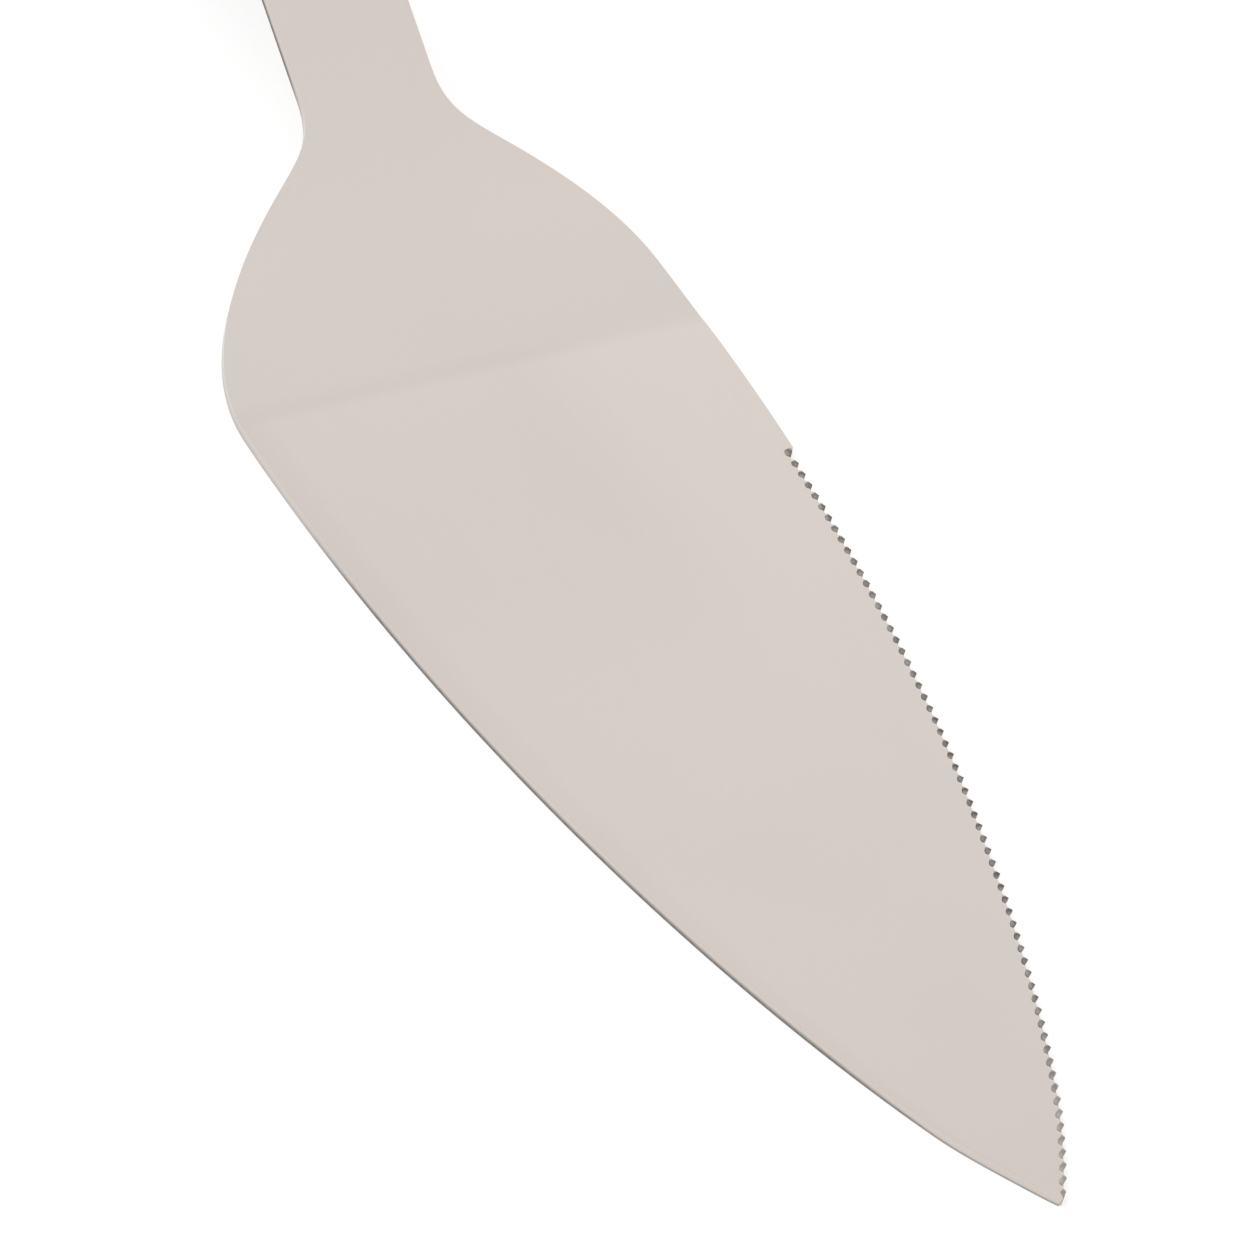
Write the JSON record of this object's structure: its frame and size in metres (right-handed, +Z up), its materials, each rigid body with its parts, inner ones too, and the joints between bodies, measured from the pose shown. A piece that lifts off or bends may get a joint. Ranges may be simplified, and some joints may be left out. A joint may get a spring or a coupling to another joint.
{
  "type": "cake server",
  "caption": "Cake server: leaf-shaped steel blade serrated along one edge, cranked up through a strap neck to a wooden handle riveted on a full tang, with a hanging eyelet.",
  "frame": {"origin": "on the flat underside of the blade, on its centreline, below the widest place of the leaf", "axes": "+X along the blade to its tip, +Y to the serrated edge, +Z up out of the blade's upper face"},
  "size_m": [0.275, 0.0536, 0.0432],
  "materials": {
    "blade_steel": "polished stainless sheet with a fine, even reflection",
    "scale_wood": "oiled dark hardwood, grain along the handle",
    "rivet_steel": "turned and polished stainless heads",
    "eyelet_steel": "polished stainless, rolled rims"
  },
  "bodies": {
    "root": {"blade": "blade_steel", "scale_upper": "scale_wood", "scale_lower": "scale_wood", "rivet_front_tube": "rivet_steel", "rivet_front_pin": "rivet_steel", "rivet_middle_tube": "rivet_steel", "rivet_middle_pin": "rivet_steel", "rivet_rear_tube": "rivet_steel", "rivet_rear_pin": "rivet_steel", "hanging_eyelet": "eyelet_steel"}
  },
  "joints": []
}
